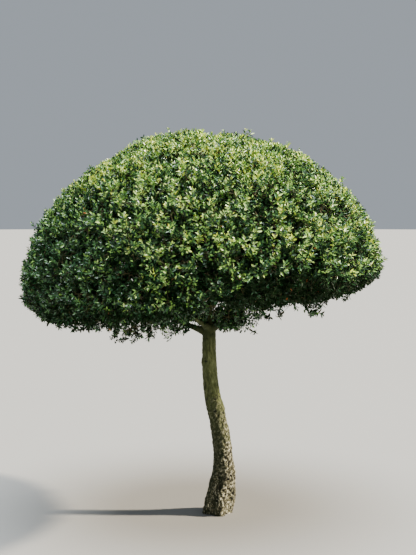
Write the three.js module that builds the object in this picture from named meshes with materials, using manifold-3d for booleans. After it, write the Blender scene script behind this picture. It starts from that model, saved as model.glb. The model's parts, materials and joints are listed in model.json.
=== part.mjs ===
// A clipped, dome-headed standard: a small-leaved evergreen shrub grown on one bare, bowed stem.
// The stem forks into a leader and five boughs. Each carries one mass of foliage, and the six masses
// stand edge to edge as one clipped dome whose rim droops to the left.
// Units are millimetres, +Z is up, the viewer stands at -Y, and the origin is the middle of the flat
// cut under the stem, at ground level.
import * as THREE from "three";
import { mergeVertices } from "three/addons/utils/BufferGeometryUtils.js";
import Module from "manifold-3d";

const wasm = await Module();
wasm.setup();

// The clipped dome, measured to the leaf tips. Its top and its rim tip a little, its underside droops
// to the left, ripples, and is hollowed over the fork.
const DOME_MIDDLE_X = -83;
const DOME_RADIUS = 906;
const DOME_RISE = 753;
const DOME_FULLNESS = 1.92;
const RIM_HEIGHT = 1208;
const RIM_TILT = 0.045;
const TOP_TILT = 0.011;
const UNDERSIDE_DROP = 168;
const UNDERSIDE_DROOP = 0.121;
const UNDERSIDE_RIPPLE = 28;
const UNDERSIDE_FLATNESS = 6;
const HOLLOW_LIFT = 105;
const SWELL = 15;
const SWELL_WIDTH = 70;

// Stem: the places its bowed middle passes through, from the ground to the fork, and its half widths.
const STEM_BOW = [
  [0, 0, 0],
  [17, -3, 140],
  [29, -8, 262],
  [3, -8, 457],
  [-35, 4, 660],
  [-47, 8, 820],
  [-43, 0, 1010],
];
const STEM_FOOT_RADIUS = 53;
const STEM_FORK_RADIUS = 33;
const STEM_TOP_RADIUS = 20;
const STEM_SHOULDER = 40;
const STEM_SIDES = 18;
const STEM_STEPS = 20;
const FLARE_WIDTH = 27;
const FLARE_HEIGHT = 165;
const FLARE_EASE = 45;
const FLARE_LOBES = 5;
const FLARE_LOBE_DEPTH = 0.13;
const KNOT_DEPTH = 0.035;

// Boughs, and the gap that every piece keeps from what it grows out of.
const BOUGH_RADIUS = 16;
const BOUGH_TIP_RADIUS = 10;
const BOUGH_SIDES = 9;
const BOUGH_STEPS = 9;
const BOUGH_SPREAD = 300;
const BOUGH_BENDS = [
  { out: 0.18, up: 0.13 },
  { out: 0.45, up: 0.36 },
  { out: 0.74, up: 0.66 },
  { out: 1, up: 1 },
];
const BOUGH_END_BELOW_CORE = 32;
const LEADER_SINK = 24;
const LEADER_KNEE_HEIGHT = 58;
const LEADER_KINK = [34, -4, 38];
const LEADER_END = [20, -6];
const SEAT_GAP = 0.3;

// The dense core of each mass: how far it lies inside the leaf tips, and the gap between two cores.
const CORE_DEPTH = 62;
const CORE_DEPTH_BELOW = 44;
const CORE_HALF_GAP = 4;
const CORE_SIDES = 30;
const CORE_RINGS_BELOW = [0.25, 0.5, 0.74, 0.92, 0.998];
const CORE_RINGS_ABOVE = [0.95, 0.86, 0.71, 0.51, 0.27];
const SEAM_RADIUS = 330;
const MASS_STEM_LENGTH = 120;

// Shoots: short twigs that stand out of the core and carry the leaves.
const SHOOTS_ABOVE = 84;
const SHOOTS_BELOW = 12;
const SHOOT_TIP_DEPTH = 28;
const SHOOT_TIP_DEPTH_BELOW = 22;
const SHOOT_RADIUS = 6;
const SHOOT_TIP_RADIUS = 4;
const SHOOT_LENGTH = 64;
const SHOOT_LEAN = 0.3;
const SHOOT_TO_SEAM = 12;
const FORK_SHARE = 0.36;
const FORK_UNEVENNESS = 18;
const STRAY_REACH = 34;
const STRAY_EVERY = 14;
const LIMB_CLEARANCE = 7;

// Leaves, larger than life: each stands for a spray. A shoot has one whorl of three above another.
const LEAF_LENGTH = 158;
const LEAF_WIDTH = 74;
const LEAF_THICKNESS = 5;
const LEAF_CUP = 6;
const LEAF_ROOT = 1.5;
const LEAF_HALF_GAP = 1.5;
const LEAVES_IN_WHORL = 3;
const WHORLS = [
  { back: 25, opening: 74, size: 1, turn: 60 },
  { back: 3, opening: 70, size: 0.8, turn: 0 },
];

// The five side masses by the compass bearing, in degrees, of the bough that carries each, and the
// height at which that bough leaves the stem.
const SIDE_MASSES = [
  { name: "left", bearing: 178, forkHeight: 936 },
  { name: "front", bearing: 249, forkHeight: 962 },
  { name: "front_right", bearing: 322, forkHeight: 948 },
  { name: "back_right", bearing: 36, forkHeight: 970 },
  { name: "back", bearing: 106, forkHeight: 952 },
];

// Loose shoots that hang under the dome: bearing, distance out from its middle, height of the tip.
const HANGING_SHOOTS = [
  { bearing: 186, out: 420, height: 945 },
  { bearing: 196, out: 290, height: 958 },
  { bearing: 212, out: 175, height: 998 },
  { bearing: 318, out: 420, height: 1092 },
  { bearing: 334, out: 600, height: 1108 },
  { bearing: 344, out: 720, height: 1168 },
  { bearing: 128, out: 430, height: 1050 },
];

const rad = THREE.MathUtils.degToRad;
const { lerp, smoothstep } = THREE.MathUtils;
const vec = (x, y, z) => new THREE.Vector3(x, y, z);
const outwards = (bearing) => vec(Math.cos(rad(bearing)), Math.sin(rad(bearing)), 0);
const domeMiddle = (height) => vec(DOME_MIDDLE_X, 0, height);

// A seeded source of even random numbers from 0 to 1, so that the plant always grows the same way.
function seeded(seed) {
  let state = seed;
  return () => {
    state = (state * 48271) % 2147483647;
    return state / 2147483647;
  };
}

// A vector with each part between plus and minus half of a width.
const scatter = (random, width) => vec(random() - 0.5, random() - 0.5, random() - 0.5).multiplyScalar(width);

// Shape of the dome.

function domeReach(angle) {
  return DOME_RADIUS * (1 + 0.011 * Math.cos(2 * angle + 0.4) + 0.009 * Math.cos(3 * angle + 1.9));
}

function swell(x, y) {
  const across = Math.sin(x / SWELL_WIDTH + 0.6) * Math.cos((1.1 * y) / SWELL_WIDTH);
  return SWELL * (across + Math.sin((x + y) / (1.5 * SWELL_WIDTH) - 1.2));
}

// The heights of the dome's top and underside over a point, for a skin that lies some depth inside
// the leaf tips, and the point's share of the way from the middle to the rim.
function domeAt(x, y, depth, depthBelow) {
  const across = x - DOME_MIDDLE_X;
  const angle = Math.atan2(y, across);
  const share = Math.hypot(across, y) / (domeReach(angle) - depth);
  const inside = Math.min(share, 1);
  const rim = RIM_HEIGHT + across * lerp(TOP_TILT, RIM_TILT, inside);
  const crest = Math.sqrt(1 - inside ** DOME_FULLNESS);
  const top = rim + (DOME_RISE - depth + swell(x, y)) * crest;
  const ripple = UNDERSIDE_RIPPLE * Math.cos(3 * (angle + rad(85)));
  const drop = UNDERSIDE_DROP - UNDERSIDE_DROOP * across - ripple - depthBelow;
  const hollow = HOLLOW_LIFT * (1 - inside ** 2) ** 2;
  const bottom = rim - drop * Math.sqrt(1 - inside ** UNDERSIDE_FLATNESS) + hollow;
  return { share, top, bottom };
}

function insideDome({ x, y, z }, depth, depthBelow) {
  const { share, top, bottom } = domeAt(x, y, depth, depthBelow);
  return share < 1 && z < top && z > bottom;
}

// The point where a ray from the dome's heart passes out through a skin, found by halving.
const DOME_HEART = domeMiddle(RIM_HEIGHT + 120);

function domeExit(direction, depth, depthBelow) {
  let inner = 0;
  let outer = 2 * DOME_RADIUS;
  while (outer - inner > 0.01) {
    const middle = (inner + outer) / 2;
    const point = DOME_HEART.clone().addScaledVector(direction, middle);
    if (insideDome(point, depth, depthBelow)) inner = middle;
    else outer = middle;
  }
  return DOME_HEART.clone().addScaledVector(direction, inner);
}

// The way the dome faces where a ray leaves it, from three rays close round it.
function domeFacing(direction) {
  const side = vec(-direction.y, direction.x, 0.3).cross(direction).normalize();
  const [a, b, c] = [0, 120, 240].map((turn) => {
    const ray = direction.clone().addScaledVector(side.clone().applyAxisAngle(direction, rad(turn)), 0.04);
    return domeExit(ray.normalize(), 0, 0);
  });
  const facing = b.sub(a).cross(c.sub(a)).normalize();
  return facing.dot(direction) < 0 ? facing.negate() : facing;
}

// Solids.

// A closed mesh as a solid that can be joined and cut.
function solid(geometry) {
  geometry.deleteAttribute("normal");
  geometry.deleteAttribute("uv");
  const merged = mergeVertices(geometry, 1e-3);
  const mesh = new wasm.Mesh({
    numProp: 3,
    vertProperties: merged.attributes.position.array,
    triVerts: new Uint32Array(merged.index.array),
  });
  return new wasm.Manifold(mesh);
}

// All solids joined: in pairs, then those in pairs, and so on.
function fuse(solids) {
  if (solids.length === 1) return solids[0];
  const half = Math.ceil(solids.length / 2);
  return fuse(solids.slice(0, half)).add(fuse(solids.slice(half)));
}

// The largest closed skin of a solid, without loose scraps or sealed hollows.
function mainBody(made) {
  return made.decompose().sort((a, b) => b.volume() - a.volume())[0];
}

// A named mesh of a solid.
function piece(name, made, material) {
  const { vertProperties, triVerts } = made.getMesh();
  const geometry = new THREE.BufferGeometry();
  geometry.setAttribute("position", new THREE.BufferAttribute(vertProperties, 3));
  geometry.setIndex(new THREE.BufferAttribute(triVerts, 1));
  geometry.computeVertexNormals();
  const mesh = new THREE.Mesh(geometry, material);
  mesh.name = name;
  return mesh;
}

// A closed skin over rings of points, drawn together at each end to one point.
function skin(rings, start, end) {
  const sides = rings[0].length;
  const faces = [];
  const startPoint = rings.length * sides;
  const endPoint = startPoint + 1;
  for (let side = 0; side < sides; side++) {
    const next = (side + 1) % sides;
    for (let low = 0; low < startPoint - sides; low += sides) {
      const high = low + sides;
      faces.push(low + side, low + next, high + next, low + side, high + next, high + side);
    }
    const last = startPoint - sides;
    faces.push(startPoint, next, side, endPoint, last + side, last + next);
  }
  return new THREE.BufferGeometry().setFromPoints([...rings.flat(), start, end]).setIndex(faces);
}

// A ring of points round a centre, in the plane of two vectors.
function ring(centre, first, second, sides, radius) {
  return Array.from({ length: sides }, (_, side) => {
    const angle = (side * 2 * Math.PI) / sides;
    const half = radius(angle);
    const point = centre.clone().addScaledVector(first, half * Math.cos(angle));
    return point.addScaledVector(second, half * Math.sin(angle));
  });
}

// A round limb along a curve. radius(share, angle) is its half width at a share of its length.
function limb(curve, steps, sides, radius) {
  const { normals, binormals } = curve.computeFrenetFrames(steps, false);
  const rings = normals.map((normal, i) => {
    const half = (angle) => radius(i / steps, angle);
    return ring(curve.getPointAt(i / steps), normal, binormals[i], sides, half);
  });
  return skin(rings, curve.getPointAt(0), curve.getPointAt(1));
}

// Stem: bowed and tapering, with a lobed root flare, and drawn in at the shoulder under the leader.
const STEM_AXIS = new THREE.CatmullRomCurve3(STEM_BOW.map((place) => vec(...place)));
const STEM_TOP = STEM_AXIS.getPoint(1).z;

function stemAt(height) {
  return STEM_AXIS.getPoints(400).find(({ z }) => z >= height);
}

function stemRadius(height, angle) {
  const taper = lerp(STEM_FOOT_RADIUS, STEM_FORK_RADIUS, height / STEM_TOP);
  const flare = 1 / (1 + Math.exp((height - FLARE_HEIGHT) / FLARE_EASE));
  const shoulder = smoothstep(height, STEM_TOP - STEM_SHOULDER, STEM_TOP);
  const lobes = FLARE_LOBE_DEPTH * flare * Math.cos(FLARE_LOBES * angle + 0.7);
  const knots = KNOT_DEPTH * Math.sin(3 * angle + height / 58) * (1 - shoulder);
  return lerp((taper + FLARE_WIDTH * flare) * (1 + lobes + knots), STEM_TOP_RADIUS, shoulder);
}

function stemSolid(grown) {
  const rings = STEM_AXIS.getPoints(STEM_STEPS).map((centre) => {
    const half = (angle) => stemRadius(centre.z, angle) + grown;
    return ring(centre, vec(1, 0, 0), vec(0, 1, 0), STEM_SIDES, half);
  });
  rings.at(-1).forEach((point) => point.add(vec(0, 0, grown)));
  const top = STEM_AXIS.getPoint(1).add(vec(0, 0, grown));
  return solid(skin(rings, STEM_AXIS.getPoint(0), top));
}

// Boughs: each leaves the stem low, swings out and turns up to end under the core of its mass.
function underCore(x, y) {
  return vec(x, y, domeAt(x, y, CORE_DEPTH, CORE_DEPTH_BELOW).bottom - BOUGH_END_BELOW_CORE);
}

function boughCurve({ bearing, forkHeight }) {
  const root = stemAt(forkHeight);
  const under = domeMiddle(0).addScaledVector(outwards(bearing), BOUGH_SPREAD);
  const reach = underCore(under.x, under.y).sub(root);
  const bends = BOUGH_BENDS.map(({ out, up }) => reach.clone().multiply(vec(out, out, up)).add(root));
  return new THREE.CatmullRomCurve3([root, ...bends]);
}

// The leader goes on straight up from the stem, then kinks to the right.
function leaderCurve() {
  const foot = stemAt(STEM_TOP - LEADER_SINK);
  const knee = stemAt(STEM_TOP).add(vec(0, 0, LEADER_KNEE_HEIGHT));
  const elbow = knee.clone().add(vec(...LEADER_KINK));
  return new THREE.CatmullRomCurve3([foot, knee, elbow, underCore(...LEADER_END)]);
}

function boughSolid(curve) {
  const half = (share, angle) => {
    const taper = lerp(BOUGH_RADIUS, BOUGH_TIP_RADIUS, share ** 0.7);
    return taper * (1 + 0.05 * Math.sin(2 * angle + 5 * share));
  };
  return solid(limb(curve, BOUGH_STEPS, BOUGH_SIDES, half));
}

const MASSES = [
  { name: "top", bough: leaderCurve() },
  ...SIDE_MASSES.map((mass) => ({ ...mass, bough: boughCurve(mass) })),
];

// Points along the stem and the boughs, with the room each takes, that leaves and twigs keep off.
const LIMB_POINTS = [
  ...STEM_AXIS.getPoints(60).map((at) => ({ at, room: stemRadius(at.z, 0) + LIMB_CLEARANCE })),
  ...MASSES.flatMap(({ bough }) =>
    bough.getPoints(24).map((at) => ({ at, room: BOUGH_RADIUS + LIMB_CLEARANCE })),
  ),
];

// Cells: seen from above, the top mass fills a pentagon and each side mass the wedge beyond a side.
const SEAM_BEARINGS = SIDE_MASSES.map(({ bearing }, k) => {
  const between = (bearing - SIDE_MASSES.at(k - 1).bearing + 360) % 360;
  return bearing - between / 2;
});

function cellCorners(name) {
  const corner = (k, distance) => {
    const { x, y } = domeMiddle(0).addScaledVector(outwards(SEAM_BEARINGS.at(k)), distance);
    return new THREE.Vector2(x, y);
  };
  if (name === "top") return SEAM_BEARINGS.map((_, k) => corner(k, SEAM_RADIUS));
  const last = SIDE_MASSES.findIndex((mass) => mass.name === name) - SIDE_MASSES.length;
  const next = last + 1 === 0 ? 0 : last + 1;
  const beyond = 2 * DOME_RADIUS;
  return [corner(last, SEAM_RADIUS), corner(last, beyond), corner(next, beyond), corner(next, SEAM_RADIUS)];
}

// The sides of a cell, each with the way that points into it.
function cellSides(corners) {
  return corners.map((corner, k) => {
    const along = corners.at(k - corners.length + 1).clone().sub(corner).normalize();
    return { corner, inward: new THREE.Vector2(-along.y, along.x) };
  });
}

// How far a point lies inside a cell. Outside it is less than 0.
function depthInCell(corners, { x, y }) {
  const depths = cellSides(corners).map(
    ({ corner, inward }) => inward.x * (x - corner.x) + inward.y * (y - corner.y),
  );
  return Math.min(...depths);
}

// A cell's outline moved inwards by half of the gap between neighbours, as a tall prism.
function cellPrism(corners) {
  const sides = cellSides(corners);
  const outline = sides.map(({ corner, inward }, k) => {
    const before = sides.at(k - 1).inward;
    const shift = CORE_HALF_GAP / (1 + before.dot(inward));
    return corner.clone().addScaledVector(before, shift).addScaledVector(inward, shift);
  });
  const height = 2 * RIM_HEIGHT;
  return solid(new THREE.ExtrudeGeometry(new THREE.Shape(outline), { depth: height, bevelEnabled: false }));
}

// The core: one dome of shaded inner growth, which the cells divide among the masses.
function coreDome() {
  const coreRing = (share, side) => {
    const distance = (angle) => share * (domeReach(angle) - CORE_DEPTH);
    const flat = ring(domeMiddle(0), vec(1, 0, 0), vec(0, 1, 0), CORE_SIDES, distance);
    return flat.map(({ x, y }) => vec(x, y, domeAt(x, y, CORE_DEPTH, CORE_DEPTH_BELOW)[side]));
  };
  const middle = (side) => domeMiddle(domeAt(DOME_MIDDLE_X, 0, CORE_DEPTH, CORE_DEPTH_BELOW)[side]);
  const rings = [
    ...CORE_RINGS_BELOW.map((share) => coreRing(share, "bottom")),
    ...CORE_RINGS_ABOVE.map((share) => coreRing(share, "top")),
  ];
  return solid(skin(rings, middle("bottom"), middle("top")));
}

// Growth rule: a limb carries a set of shoot tips. It runs part of the way towards their middle,
// forks, and shares them between its two arms across their widest spread, until each arm has one.
function fork(from, tips, random) {
  if (tips.length === 1) return [{ from, shoot: tips[0], carries: 1 }];
  const middle = tips.reduce((sum, { at }) => sum.add(at), vec(0, 0, 0)).divideScalar(tips.length);
  const to = from.clone().lerp(middle, FORK_SHARE).add(scatter(random, FORK_UNEVENNESS));
  const width = (axis) => {
    const places = tips.map(({ at }) => at[axis]);
    return Math.max(...places) - Math.min(...places);
  };
  const [widest] = ["x", "y", "z"].sort((a, b) => width(b) - width(a));
  const ordered = [...tips].sort((a, b) => a.at[widest] - b.at[widest]);
  const half = Math.ceil(tips.length / 2);
  const arms = [ordered.slice(0, half), ordered.slice(half)];
  return [{ from, to, carries: tips.length }, ...arms.flatMap((arm) => fork(to, arm, random))];
}

// The tips of the shoots and the way each faces. On the dome every next one is turned by the golden
// angle, and sits lower: first from the crown down to the rim, then from the rim in under the dome.
function shootTips() {
  const random = seeded(11);
  const domeTip = (turn, up, stray) => {
    const ray = outwards(turn * 137.508).multiplyScalar(Math.sqrt(1 - up ** 2)).setZ(0.74 * up).normalize();
    const at = domeExit(ray, SHOOT_TIP_DEPTH - stray, SHOOT_TIP_DEPTH_BELOW);
    return { at, facing: domeFacing(ray).add(scatter(random, SHOOT_LEAN)).normalize() };
  };
  const above = Array.from({ length: SHOOTS_ABOVE }, (_, i) => {
    const up = 1 - 1.27 * ((i + 0.4) / SHOOTS_ABOVE) ** 1.14;
    return domeTip(i, up, i % STRAY_EVERY === 3 ? STRAY_REACH : 0);
  });
  const below = Array.from({ length: SHOOTS_BELOW }, (_, i) => {
    return domeTip(i, -0.36 - (0.5 * (i + 0.5)) / SHOOTS_BELOW, 0);
  });
  const hanging = HANGING_SHOOTS.map(({ bearing, out, height }) => {
    const facing = outwards(bearing + 60).multiplyScalar(0.5).add(vec(0, 0, -1)).normalize();
    return { at: domeMiddle(height).addScaledVector(outwards(bearing), out), facing };
  });
  return [...above, ...below, ...hanging];
}

// A three-sided twig through some places, its ends drawn to a point. side sets how it is turned.
function twig(places, radii, side, endPoint) {
  const rings = places.map((place, i) => {
    const along = places[Math.min(i + 1, places.length - 1)].clone().sub(places[Math.max(i - 1, 0)]);
    const first = side.clone().projectOnPlane(along).normalize();
    const second = along.normalize().cross(first);
    return ring(place, first, second, 3, () => radii[i]);
  });
  return skin(rings, places[0], endPoint);
}

// A leaf: a pointed blade of eight faces, cupped along its middle, with its root behind the origin.
function leaf(length) {
  const size = length / LEAF_LENGTH;
  const widest = 0.42 * length;
  const points = [
    vec(0, -LEAF_ROOT, 0),
    vec(0, length, -LEAF_CUP * size),
    vec((-LEAF_WIDTH / 2) * size, widest, LEAF_CUP * size),
    vec((LEAF_WIDTH / 2) * size, widest, LEAF_CUP * size),
    vec(0, widest, LEAF_THICKNESS / 2),
    vec(0, widest, -LEAF_THICKNESS / 2),
  ];
  const faces = [0, 3, 4, 3, 1, 4, 1, 2, 4, 2, 0, 4, 3, 0, 5, 1, 3, 5, 2, 1, 5, 0, 2, 5];
  return new THREE.BufferGeometry().setFromPoints(points).setIndex(faces);
}

// The leaves of a shoot, whorl by whorl, each out of the middle of one of the twig's three faces.
function shootLeaves({ at, facing }, side, random) {
  return WHORLS.flatMap(({ back, opening, size, turn }) =>
    Array.from({ length: LEAVES_IN_WHORL }, (_, k) => {
      const bearing = rad((360 * k) / LEAVES_IN_WHORL + turn + 12 * (random() - 0.5));
      const open = rad(opening + 12 * (random() - 0.5));
      const away = side.clone().applyAxisAngle(facing, bearing);
      const along = facing.clone().multiplyScalar(Math.cos(open)).addScaledVector(away, Math.sin(open));
      const across = along.clone().cross(facing).normalize();
      const root = at.clone().addScaledVector(facing, -back);
      const place = new THREE.Matrix4().makeBasis(across, along, across.clone().cross(along));
      return leaf(LEAF_LENGTH * size * (0.92 + 0.16 * random())).applyMatrix4(place.setPosition(root));
    }),
  );
}

// Points along every edge of a twig or leaf, no further apart than half of a limb's room.
function edgePoints(geometry) {
  const { array } = geometry.getAttribute("position");
  const corner = (i) => vec(...array.slice(3 * i, 3 * i + 3));
  return Array.from(geometry.index.array).flatMap((start, i, faces) => {
    const from = corner(start);
    const to = corner(i % 3 === 2 ? faces[i - 2] : faces[i + 1]);
    const steps = Math.ceil(from.distanceTo(to) / (BOUGH_TIP_RADIUS + LIMB_CLEARANCE));
    return Array.from({ length: steps }, (_, step) => from.clone().lerp(to, step / steps));
  });
}

// Whether a twig or leaf stays in its mass's own space and clear of every limb.
function hasRoom(geometry, cell) {
  return edgePoints(geometry).every(
    (point) =>
      depthInCell(cell, point) > LEAF_HALF_GAP &&
      (point.z < RIM_HEIGHT || insideDome(point, -STRAY_REACH, 0)) &&
      LIMB_POINTS.every(({ at, room }) => at.distanceTo(point) > room),
  );
}

// One mass: its core, the stem that meets its bough's tip, the forking twigs, and the leafy shoots.
function massSolid({ name, bough }, dome, tips, random) {
  const cell = cellCorners(name);
  const heading = bough.getTangentAt(1);
  const foot = bough.getPointAt(1).addScaledVector(heading, SEAT_GAP);
  const head = foot.clone().addScaledVector(heading, MASS_STEM_LENGTH);
  const stem = limb(new THREE.LineCurve3(foot, head), 1, BOUGH_SIDES, () => BOUGH_TIP_RADIUS);
  const solids = [dome.intersect(cellPrism(cell)), solid(stem)];
  const own = tips.filter(({ at }) => depthInCell(cell, at) > SHOOT_TO_SEAM);
  for (const { from, to, shoot, carries } of fork(head, own, random)) {
    const girth = SHOOT_RADIUS * carries ** 0.3;
    if (!shoot) {
      const side = vec(1, 0.3, 0.1).cross(to.clone().sub(from));
      solids.push(solid(twig([from, to], [girth, 0.85 * girth], side, to)));
      continue;
    }
    const base = shoot.at.clone().addScaledVector(shoot.facing, -SHOOT_LENGTH);
    const side = base.clone().sub(from).cross(shoot.facing).normalize();
    const radii = [girth, SHOOT_RADIUS, SHOOT_TIP_RADIUS];
    const bud = shoot.at.clone().addScaledVector(shoot.facing, 2 * SHOOT_TIP_RADIUS);
    const grown = twig([from, base, shoot.at], radii, side, bud);
    if (!hasRoom(grown, cell)) continue;
    const leaves = shootLeaves(shoot, side, random).filter((blade) => hasRoom(blade, cell));
    solids.push(fuse([grown, ...leaves].map(solid)));
  }
  return mainBody(fuse(solids));
}

// Finishes.
const bark = () => new THREE.MeshStandardMaterial({ color: 0x6f6a58, roughness: 0.95, metalness: 0 });
const youngBark = () => new THREE.MeshStandardMaterial({ color: 0x5f5d43, roughness: 0.9, metalness: 0 });
const foliage = () => new THREE.MeshStandardMaterial({ color: 0x35542c, roughness: 0.5, metalness: 0 });

const plant = new THREE.Group();
plant.add(piece("trunk", stemSolid(0), bark()));

// Each bough is cut back from the stem by the seat gap.
const roomForStem = stemSolid(SEAT_GAP);
for (const { name, bough } of MASSES) {
  const cut = mainBody(boughSolid(bough).subtract(roomForStem));
  plant.add(piece(name === "top" ? "leader" : `bough_${name}`, cut, youngBark()));
}

const dome = coreDome();
const tips = shootTips();
MASSES.forEach((mass, k) => {
  plant.add(piece(`foliage_${mass.name}`, massSolid(mass, dome, tips, seeded(101 + k)), foliage()));
});

export default plant;
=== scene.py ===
import json
import math

import bmesh
import bpy
import numpy as np
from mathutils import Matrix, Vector, noise

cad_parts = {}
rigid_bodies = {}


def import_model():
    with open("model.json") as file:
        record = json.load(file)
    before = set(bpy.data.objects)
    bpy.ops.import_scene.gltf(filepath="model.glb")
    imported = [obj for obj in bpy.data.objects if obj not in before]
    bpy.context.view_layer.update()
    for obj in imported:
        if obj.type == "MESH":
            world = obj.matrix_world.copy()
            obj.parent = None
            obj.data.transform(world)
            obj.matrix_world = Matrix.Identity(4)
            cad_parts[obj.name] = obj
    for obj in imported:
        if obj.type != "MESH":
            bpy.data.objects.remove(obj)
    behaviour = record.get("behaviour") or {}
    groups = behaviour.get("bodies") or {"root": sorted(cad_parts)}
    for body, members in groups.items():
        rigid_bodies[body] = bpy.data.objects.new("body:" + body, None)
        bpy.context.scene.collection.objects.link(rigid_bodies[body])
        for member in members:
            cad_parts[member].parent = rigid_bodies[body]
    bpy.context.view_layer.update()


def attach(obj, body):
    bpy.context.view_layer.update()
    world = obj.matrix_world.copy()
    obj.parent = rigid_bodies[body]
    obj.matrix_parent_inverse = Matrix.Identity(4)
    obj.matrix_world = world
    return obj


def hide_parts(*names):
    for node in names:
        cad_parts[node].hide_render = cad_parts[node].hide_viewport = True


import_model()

# Stem, leader and boughs.
# The real stem is the live wood of a slow evergreen, bowed while it was young, with a lobed flare
# where the roots begin. Leader and boughs grow out of it, so one skin of bark runs over them all.

# Sizes are in millimetres.
MM = 0.001
# Places along the middle of the stem, from the cut at the ground to the crotch.
STEM_BOW = [(0, 0, 0), (17, -3, 140), (29, -8, 262), (3, -8, 457), (-35, 4, 660), (-47, 8, 820),
            (-43, 0, 1010)]
STEM_STEPS = 401
STEM_FOOT_RADIUS = 53
STEM_FORK_RADIUS = 33
STEM_TOP_RADIUS = 20
STEM_TOP = STEM_BOW[-1][2]
STEM_SHOULDER = 40
FLARE_WIDTH = 27
FLARE_HEIGHT = 165
FLARE_EASE = 45
FLARE_LOBES = 5
FLARE_LOBE_DEPTH = 0.13
FLARE_TURN = 0.7
KNOTS_ROUND = 3
KNOT_DEPTH = 0.035
KNOT_WAVE = 58
# Swellings and hollows of the stem: height, bearing in degrees, size, how far they stand out.
BURRS = [
    (215, 5, 52, 9), (10, 0, 55, -12), (786, 185, 15, 6), (300, 250, 45, 4), (560, 120, 50, 5),
    (185, 300, 36, 6), (70, 250, 46, 12), (55, 312, 42, -5), (410, 318, 48, 7), (120, 190, 45, -5),
    (540, 355, 34, 6), (330, 15, 26, 4),
]
BOUGH_RADIUS = 16
BOUGH_TIP_RADIUS = 10
BOUGH_TAPER = 0.7
BOUGH_OVAL = 0.06
COLLAR_WIDTH = 9
COLLAR_LENGTH = 55
BOUGH_SPREAD = 300
# Shares of the way out and of the way up at each bend of a bough.
BOUGH_BENDS = [(0.18, 0.13), (0.45, 0.36), (0.74, 0.66), (1.0, 1.0)]
BOUGH_END_BELOW_CORE = 32
LEADER_FROM = 986
LEADER_KNEE_HEIGHT = 58
LEADER_KINK = (34, -4, 38)
LEADER_END = (20, -6)
MASS_STEM_LENGTH = 120
CORE_DEPTH = 62
CORE_DEPTH_BELOW = 44

# The clipped dome, measured to the leaf tips.
DOME_MIDDLE_X = -83
DOME_RADIUS = 906
DOME_RISE = 753
DOME_FULLNESS = 1.92
# Shallow lobes of its outline in plan: how many, how deep for its radius, turned by.
PLAN_LOBES = [(2, 0.011, 0.4), (3, 0.009, 1.9)]
RIM_HEIGHT = 1208
RIM_TILT = 0.045
TOP_TILT = 0.011
UNDERSIDE_DROP = 168
UNDERSIDE_DROOP = 0.121
UNDERSIDE_RIPPLE = 28
UNDERSIDE_RIPPLES = 3
RIPPLE_TURN = 85
UNDERSIDE_FLATNESS = 6
HOLLOW_LIFT = 105
# Low swells of the clipped top, as crossed waves.
SWELL = 15
SWELL_WIDTH = 70

# The side masses: name, bearing of the bough in degrees, height at which it leaves the stem.
SIDE_MASSES = [("left", 178, 936), ("front", 249, 962), ("front_right", 322, 948),
               ("back_right", 36, 970), ("back", 106, 952)]


def outwards(bearing):
    """Level unit vectors at bearings in degrees."""
    angle = np.radians(bearing)
    return np.stack([np.cos(angle), np.sin(angle), np.zeros_like(angle)], axis=-1)


def dome_at(x, y, depth, depth_below):
    """Share of the way to the rim, and heights of the dome's top and underside, over points."""
    across = x - DOME_MIDDLE_X
    angle = np.arctan2(y, across)
    uneven = sum(deep * np.cos(number * angle + turned) for number, deep, turned in PLAN_LOBES)
    share = np.hypot(across, y) / (DOME_RADIUS * (1 + uneven) - depth)
    inside = np.minimum(share, 1)
    rim = RIM_HEIGHT + across * (TOP_TILT + (RIM_TILT - TOP_TILT) * inside)
    crest = np.sqrt(1 - inside ** DOME_FULLNESS)
    swell = np.sin(x / SWELL_WIDTH + 0.6) * np.cos(1.1 * y / SWELL_WIDTH)
    swell = SWELL * (swell + np.sin((x + y) / (1.5 * SWELL_WIDTH) - 1.2))
    top = rim + (DOME_RISE - depth + swell) * crest
    ripple = UNDERSIDE_RIPPLE * np.cos(UNDERSIDE_RIPPLES * (angle + math.radians(RIPPLE_TURN)))
    drop = UNDERSIDE_DROP - UNDERSIDE_DROOP * across - ripple - depth_below
    hollow = HOLLOW_LIFT * (1 - inside**2) ** 2
    bottom = rim - drop * np.sqrt(1 - inside**UNDERSIDE_FLATNESS) + hollow
    return share, top, bottom


def smooth_path(places, count):
    """Evenly numbered points on the centripetal Catmull-Rom curve through some places."""
    places = np.array(places, float)
    ends = [2 * places[0] - places[1], *places, 2 * places[-1] - places[-2]]
    ends = np.array(ends)
    points = []
    for t in np.linspace(0, len(places) - 1, count):
        i = min(int(t), len(places) - 2)
        u = t - i
        p = ends[i : i + 4]
        gaps = np.maximum(np.linalg.norm(np.diff(p, axis=0), axis=1) ** 0.5, 1e-6)
        m1 = (p[1] - p[0]) / gaps[0] - (p[2] - p[0]) / (gaps[0] + gaps[1]) + (p[2] - p[1]) / gaps[1]
        m2 = (p[2] - p[1]) / gaps[1] - (p[3] - p[1]) / (gaps[1] + gaps[2]) + (p[3] - p[2]) / gaps[2]
        m1, m2 = m1 * gaps[1], m2 * gaps[1]
        points.append(
            p[1] + m1 * u + (3 * (p[2] - p[1]) - 2 * m1 - m2) * u**2
            + (2 * (p[1] - p[2]) + m1 + m2) * u**3
        )
    return np.array(points)


def stem_at(height):
    """The middle of the stem at a height."""
    course = smooth_path(STEM_BOW, STEM_STEPS)
    return course[np.argmax(course[:, 2] >= min(height, STEM_TOP))]


def under_core(x, y):
    """The place just under the dense core of the head, over a point of the ground."""
    _, _, bottom = dome_at(np.float64(x), np.float64(y), CORE_DEPTH, CORE_DEPTH_BELOW)
    return np.array([x, y, bottom - BOUGH_END_BELOW_CORE])


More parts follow.
